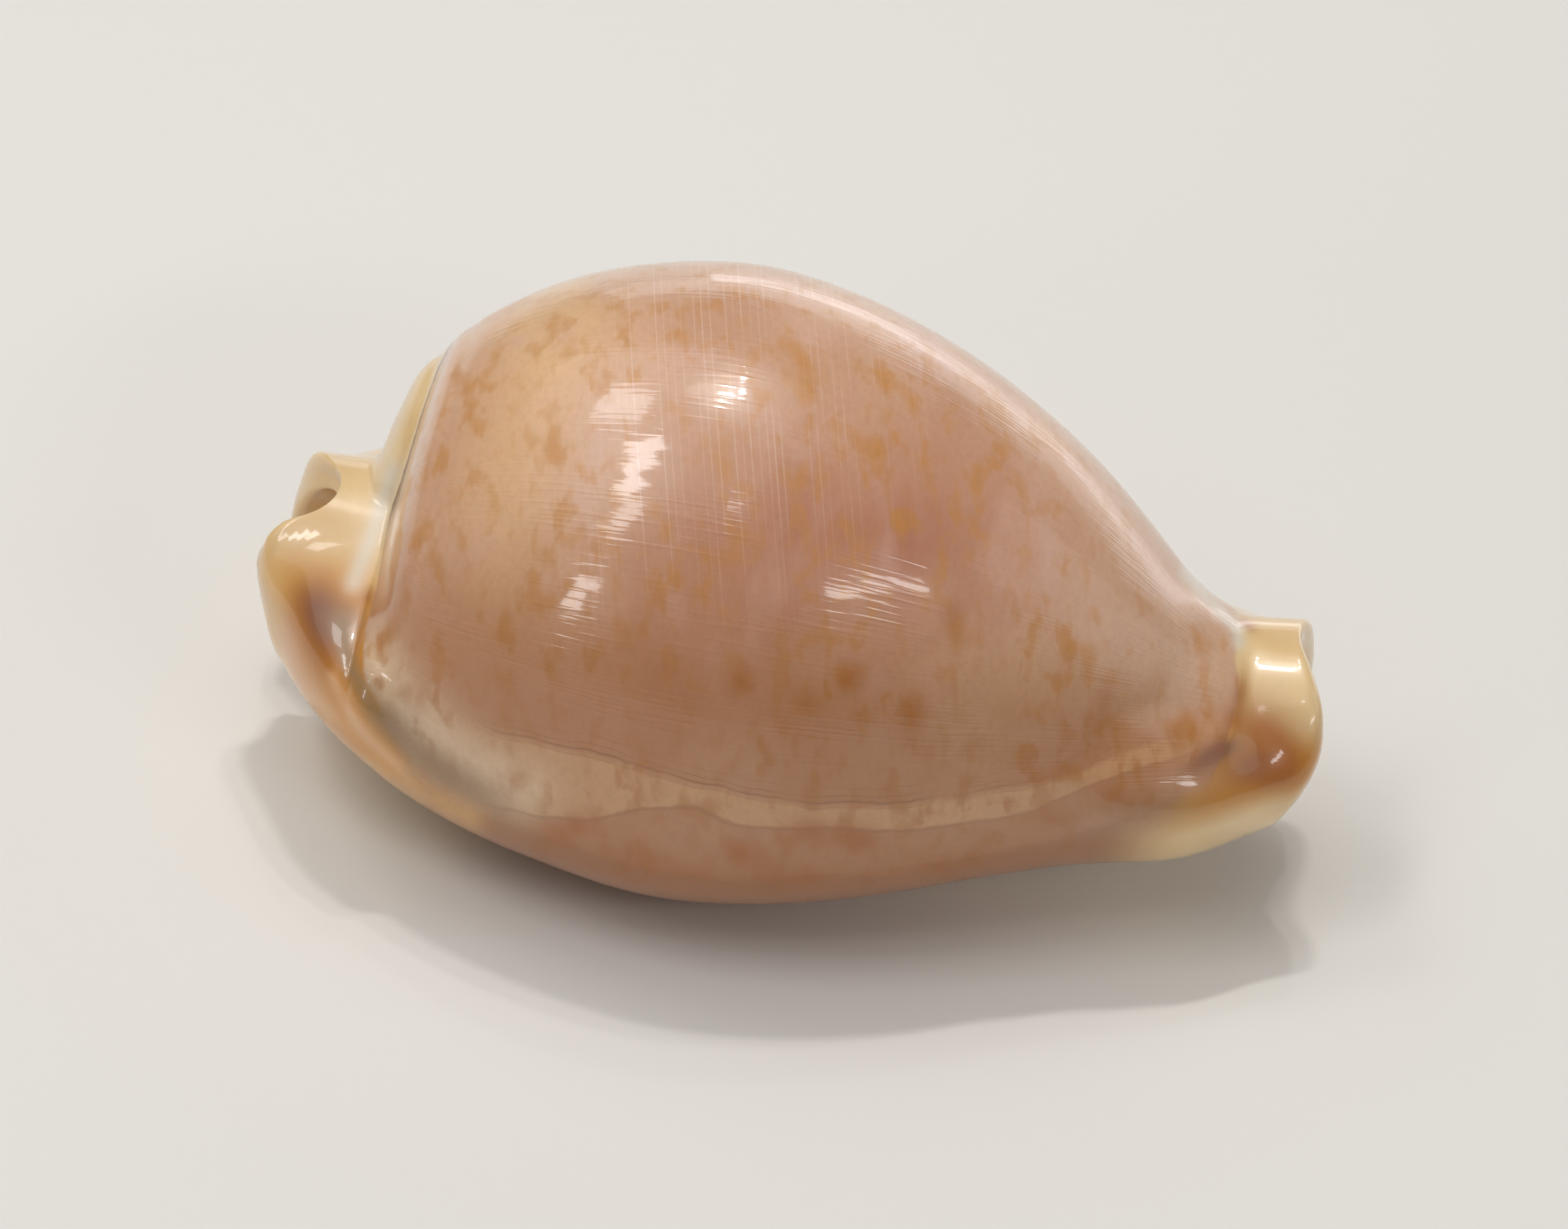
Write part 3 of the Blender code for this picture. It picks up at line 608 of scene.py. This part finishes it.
    # painted shade in the valleys between body and margins, on the cream
    cream = t.mix(times(t.note("hollow_shade"), 0.8), cream, srgb(140, 112, 92))
    cream = t.mix(times(t.note("umber"), 0.9), cream, srgb(148, 92, 36))
    # painted shade in the channel, on the cream
    cream = t.mix(times(t.note("groove_shade"), 0.85), cream, srgb(126, 104, 80))
    cream = t.mix(times(t.note("crest"), 0.7), cream, srgb(206, 164, 128))
    # purple-brown spots with painted shade of the end hollows, on the ground
    ground = t.mix(times(t.note("plum_and_shade"), 0.75), ground, srgb(112, 70, 62))
    # painted shade in the valleys between body and margins, on the ground
    ground = t.mix(times(t.note("hollow_shade"), 0.6), ground, srgb(144, 112, 90))
    # painted shade in the channel, on the ground
    ground = t.mix(times(t.note("groove_shade"), 0.8), ground, srgb(128, 106, 84))
    ground = t.mix(times(t.note("gold"), 0.65), ground, srgb(204, 160, 106))
    coloured = t.mix(extremity, ground, cream)
    # the milky seam where the callus laps on to the body, and the dark line beside it
    coloured = t.mix(times(t.note("milky"), 0.75), coloured, srgb(198, 193, 190))
    jag = t.noise(t.scaled(where, (500, 1400, 1400)), 1.0, 2.0, 0.6)
    shifted = t.math("ADD", edge, t.math("MULTIPLY", t.math("SUBTRACT", jag, 0.5), 1.2))
    shifted = t.math("MULTIPLY", shifted, t.ramp(turn, 1.9, 1.2, 1.0, 5.0))
    seam = times(t.ramp(shifted, -3.8, -2.9), t.ramp(shifted, 0.9, 0.2), t.ramp(along, -0.6, -0.7),
                 t.ramp(turn, 2.3, 1.9))
    coloured = t.mix(times(seam, 0.85), coloured, srgb(84, 42, 26))
    # lips and base
    coloured = t.mix(times(t.note("sole"), 0.85), coloured, srgb(212, 184, 150))
    coloured = t.mix(times(lip, 0.6), coloured, srgb(222, 194, 160))
    gaps = times(lip, t.ramp(toothing, 0.45, 0.1))
    coloured = t.mix(times(gaps, 0.5), coloured, srgb(186, 132, 88))
    canal = times(within, t.ramp(along, -0.95, -0.80), t.ramp(along, 0.96, 0.86))
    coloured = t.mix(times(canal, 0.85), coloured, srgb(226, 176, 114))
    mouth = times(within, t.ramp(along, -0.76, -0.60), t.ramp(along, 0.86, 0.76))
    coloured = t.mix(times(mouth, 0.85), coloured, srgb(150, 112, 98))
    coloured = t.mix(times(t.ramp(grain, 0.35, 0.75), t.ramp(extremity, 0.0, 1.0, 0.1, 0.03)), coloured, srgb(120, 84, 62))
    t.put(t.surface, "Base Color", coloured)
    # fine spiral scratches and uneven enamel
    lengthwise = t.nodes.new("ShaderNodeCombineXYZ")
    t.put(lengthwise, 0, t.math("MULTIPLY", along, 6.0))
    t.put(lengthwise, 1, t.math("MULTIPLY", turn, 80.0))
    scratch = t.ramp(t.noise(lengthwise.outputs[0], 1.0, 0.6, 0.5), 0.46, 0.70)
    worn = t.noise(t.scaled(where, (150, 260, 260), (5, 1, 9)), 1.0, 2.0, 0.5)
    scratch = times(scratch, t.ramp(worn, 0.35, 0.62, 0.2, 1.0), t.ramp(extremity, 0.0, 1.0, 1.0, 0.1))
    swells = t.noise(t.scaled(where, (260, 200, 200)), 1.0, 2.0, 0.45)
    fine = t.nodes.new("ShaderNodeBump")
    fine.inputs["Strength"].default_value = 1.0
    fine.inputs["Distance"].default_value = 0.0000075
    t.links.new(scratch, fine.inputs["Height"])
    wave = t.nodes.new("ShaderNodeBump")
    wave.inputs["Strength"].default_value = 1.0
    wave.inputs["Distance"].default_value = 0.00005
    t.links.new(swells, wave.inputs["Height"])
    t.links.new(fine.outputs[0], wave.inputs["Normal"])
    t.links.new(wave.outputs[0], t.surface.inputs["Normal"])
    t.links.new(wave.outputs[0], t.surface.inputs["Coat Normal"])
    t.surface.inputs["Roughness"].default_value = 0.32
    t.surface.inputs["IOR"].default_value = 1.5
    t.surface.inputs["Coat Weight"].default_value = 0.8
    t.surface.inputs["Coat Roughness"].default_value = 0.06
    t.surface.inputs["Coat IOR"].default_value = 1.5
    t.surface.inputs["Subsurface Weight"].default_value = 0.15
    t.surface.inputs["Subsurface Radius"].default_value = (1.0, 0.55, 0.3)
    t.surface.inputs["Subsurface Scale"].default_value = 0.0016
    return t.material


# ----------------------------------------------------------------------------------------
def build_shell():
    points, faces, notes = wall()
    low, high = points.min(axis=0), points.max(axis=0)
    cad_low, cad_high = (np.array(c) * 1000 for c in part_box("shell"))
    points[:, :2] += ((cad_low + cad_high) / 2 - (low + high) / 2)[:2]
    points[:, 2] += cad_low[2] - low[2]
    mesh = bpy.data.meshes.new("shell_visual")
    mesh.from_pydata((points / 1000.0).tolist(), [], [tuple(int(i) for i in f) for f in faces])
    mesh.update()
    for name, values in notes.items():
        mesh.attributes.new(name, "FLOAT", "POINT").data.foreach_set("value", values.astype(np.float32))
    mesh.polygons.foreach_set("use_smooth", [True] * len(mesh.polygons))
    shell = bpy.data.objects.new("shell_visual", mesh)
    bpy.context.scene.collection.objects.link(shell)
    mesh.materials.append(glaze())
    return shell


shell = build_shell()
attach(shell, "root")
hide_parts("shell")

# ----------------------------------------------------------------------------------------
# The studio
floor_mesh = bpy.data.meshes.new("floor")
floor_mesh.from_pydata([(-3, -3, 0), (3, -3, 0), (3, 3, 0), (-3, 3, 0)], [], [(0, 1, 2, 3)])
floor = bpy.data.objects.new("floor", floor_mesh)
bpy.context.scene.collection.objects.link(floor)
floor_look = bpy.data.materials.new("floor")
floor_look.use_nodes = True
floor_look.node_tree.nodes["Principled BSDF"].inputs["Base Color"].default_value = (0.80, 0.785, 0.76, 1)
floor_look.node_tree.nodes["Principled BSDF"].inputs["Roughness"].default_value = 0.9
floor_mesh.materials.append(floor_look)

world = bpy.data.worlds.new("studio")
world.use_nodes = True
world.node_tree.nodes["Background"].inputs["Color"].default_value = (0.86, 0.82, 0.76, 1)
world.node_tree.nodes["Background"].inputs["Strength"].default_value = 0.2
bpy.context.scene.world = world
bpy.context.scene.view_settings.view_transform = "Standard"

MIDDLE = Vector((0.0, 0.0, 0.0165))


def softbox(name, azimuth, elevation, distance, size, watts, tint=(1, 1, 1)):
    """An area light that faces the shell from azimuth (0 is the camera's side, 90 is +X)."""
    data = bpy.data.lights.new(name, "AREA")
    data.shape = "RECTANGLE"
    data.size, data.size_y = size
    data.energy = watts
    data.color = tint
    lamp = bpy.data.objects.new(name, data)
    a, e = math.radians(azimuth), math.radians(elevation)
    lamp.location = MIDDLE + distance * Vector((math.sin(a) * math.cos(e), -math.cos(a) * math.cos(e), math.sin(e)))
    lamp.rotation_euler = (MIDDLE - lamp.location).to_track_quat("-Z", "Y").to_euler()
    bpy.context.scene.collection.objects.link(lamp)
    return lamp


softbox("top", -100, 70, 1.2, (1.6, 1.6), 5.3, (1.0, 0.985, 0.95))
softbox("lamp a", -156, 74, 0.6, (0.046, 0.020), 0.60, (1.0, 0.98, 0.94))
softbox("lamp b", -176, 72, 0.6, (0.022, 0.018), 0.26, (1.0, 0.98, 0.94))
softbox("lamp c", -176, 65, 0.6, (0.014, 0.012), 0.10, (1.0, 0.98, 0.94))
softbox("glow", -150, 72, 0.6, (0.13, 0.11), 0.08)
softbox("patch", -110, 59, 0.6, (0.15, 0.10), 0.24, (0.95, 0.97, 1.0))
for index, (azimuth, elevation, watts) in enumerate(((-74, 64, 0.15), (-62, 60.5, 0.16), (-52, 55, 0.16))):
    softbox("strip head %d" % index, azimuth, elevation, 0.6, (0.055, 0.085), watts)
softbox("strip", -43, 46, 0.6, (0.045, 0.13), 0.14)
softbox("strip foot", -35, 22, 0.6, (0.035, 0.12), 0.12)
softbox("brushed", 46, 37, 0.6, (0.22, 0.04), 0.26)
softbox("tube", 8, 64, 0.6, (0.05, 0.03), 0.03)
softbox("fill", 95, 25, 0.9, (0.5, 0.5), 0.5)
softbox("back", 160, 9, 0.9, (1.4, 0.26), 1.0, (0.97, 0.98, 1.0))
softbox("low back", 157, 2.6, 0.35, (0.42, 0.055), 0.10, (0.97, 0.98, 1.0))

# ----------------------------------------------------------------------------------------
# The camera: 40 degrees above the outer-lip side, turned so that the shell slants down to the right
ELEVATION, ROLL, DISTANCE = math.radians(40.0), math.radians(10.3), 0.385
camera_data = bpy.data.cameras.new("camera")
camera_data.lens = 140.0
camera_data.sensor_width = 36.0
camera_data.clip_start, camera_data.clip_end = 0.01, 20.0
camera = bpy.data.objects.new("camera", camera_data)
back = Vector((0.0, -math.cos(ELEVATION), math.sin(ELEVATION)))
right = Vector((1.0, 0.0, 0.0))
up = back.cross(right)
right, up = right * math.cos(ROLL) + up * math.sin(ROLL), up * math.cos(ROLL) - right * math.sin(ROLL)
aim = Vector((0.0, 0.0, 0.0150)) - right * 0.0010 - up * 0.0014
camera.matrix_world = Matrix.Translation(aim + back * DISTANCE) @ Matrix((right, up, back)).transposed().to_4x4()
bpy.context.scene.collection.objects.link(camera)
bpy.context.scene.camera = camera
